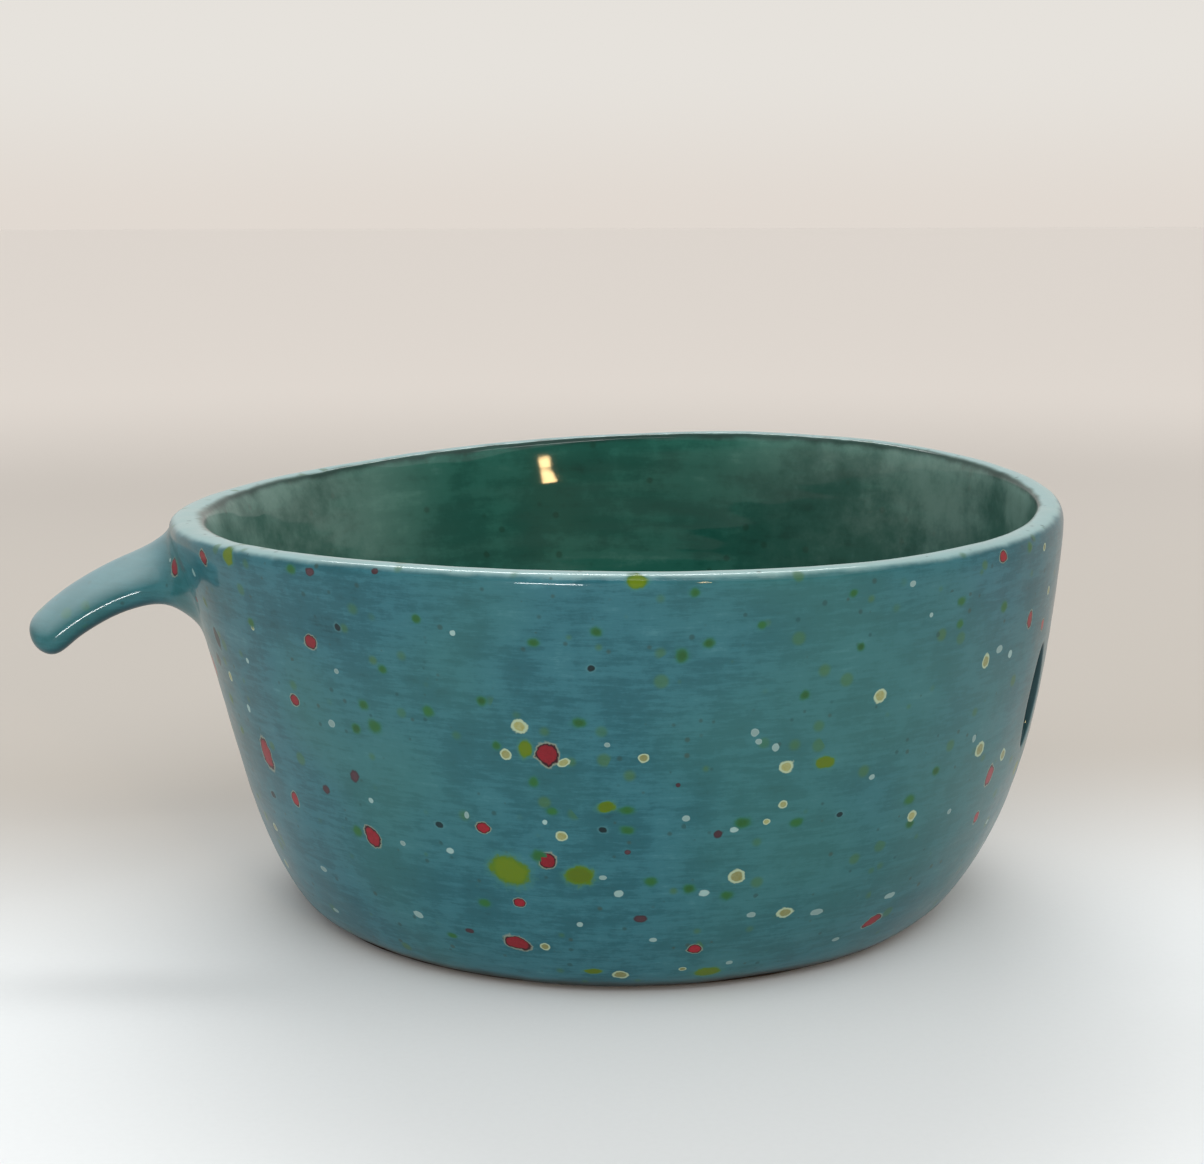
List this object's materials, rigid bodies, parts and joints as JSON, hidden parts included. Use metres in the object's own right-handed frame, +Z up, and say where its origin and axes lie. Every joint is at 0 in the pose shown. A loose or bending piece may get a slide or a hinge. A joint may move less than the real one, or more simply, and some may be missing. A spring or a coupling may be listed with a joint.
{
  "type": "yarn bowl",
  "caption": "Round hand-built ceramic bowl for a ball of yarn, with a drooping stem handle at the rim and an upright leaf-shaped yarn slot through the wall.",
  "frame": {"origin": "centre of the foot's flat underside, on the table", "axes": "+Z up along the bowl's axis, handle towards -X, yarn slot on the +X side turned towards -Y"},
  "size_m": [0.1944, 0.1678, 0.0799],
  "materials": {
    "blue_glaze": "glossy turquoise-blue glaze with horizontal brush streaks and red, green and cream crystals",
    "green_glaze": "deep glossy green glaze, softly mottled",
    "buff_clay": "fired bare buff-brown stoneware, matt"
  },
  "bodies": {
    "root": {"base_slab": "buff_clay", "wall_ring": "buff_clay", "rim_coil": "buff_clay", "stem_handle": "buff_clay", "joint_coil": "buff_clay", "inner_glaze": "green_glaze", "outer_glaze": "blue_glaze"}
  },
  "joints": []
}
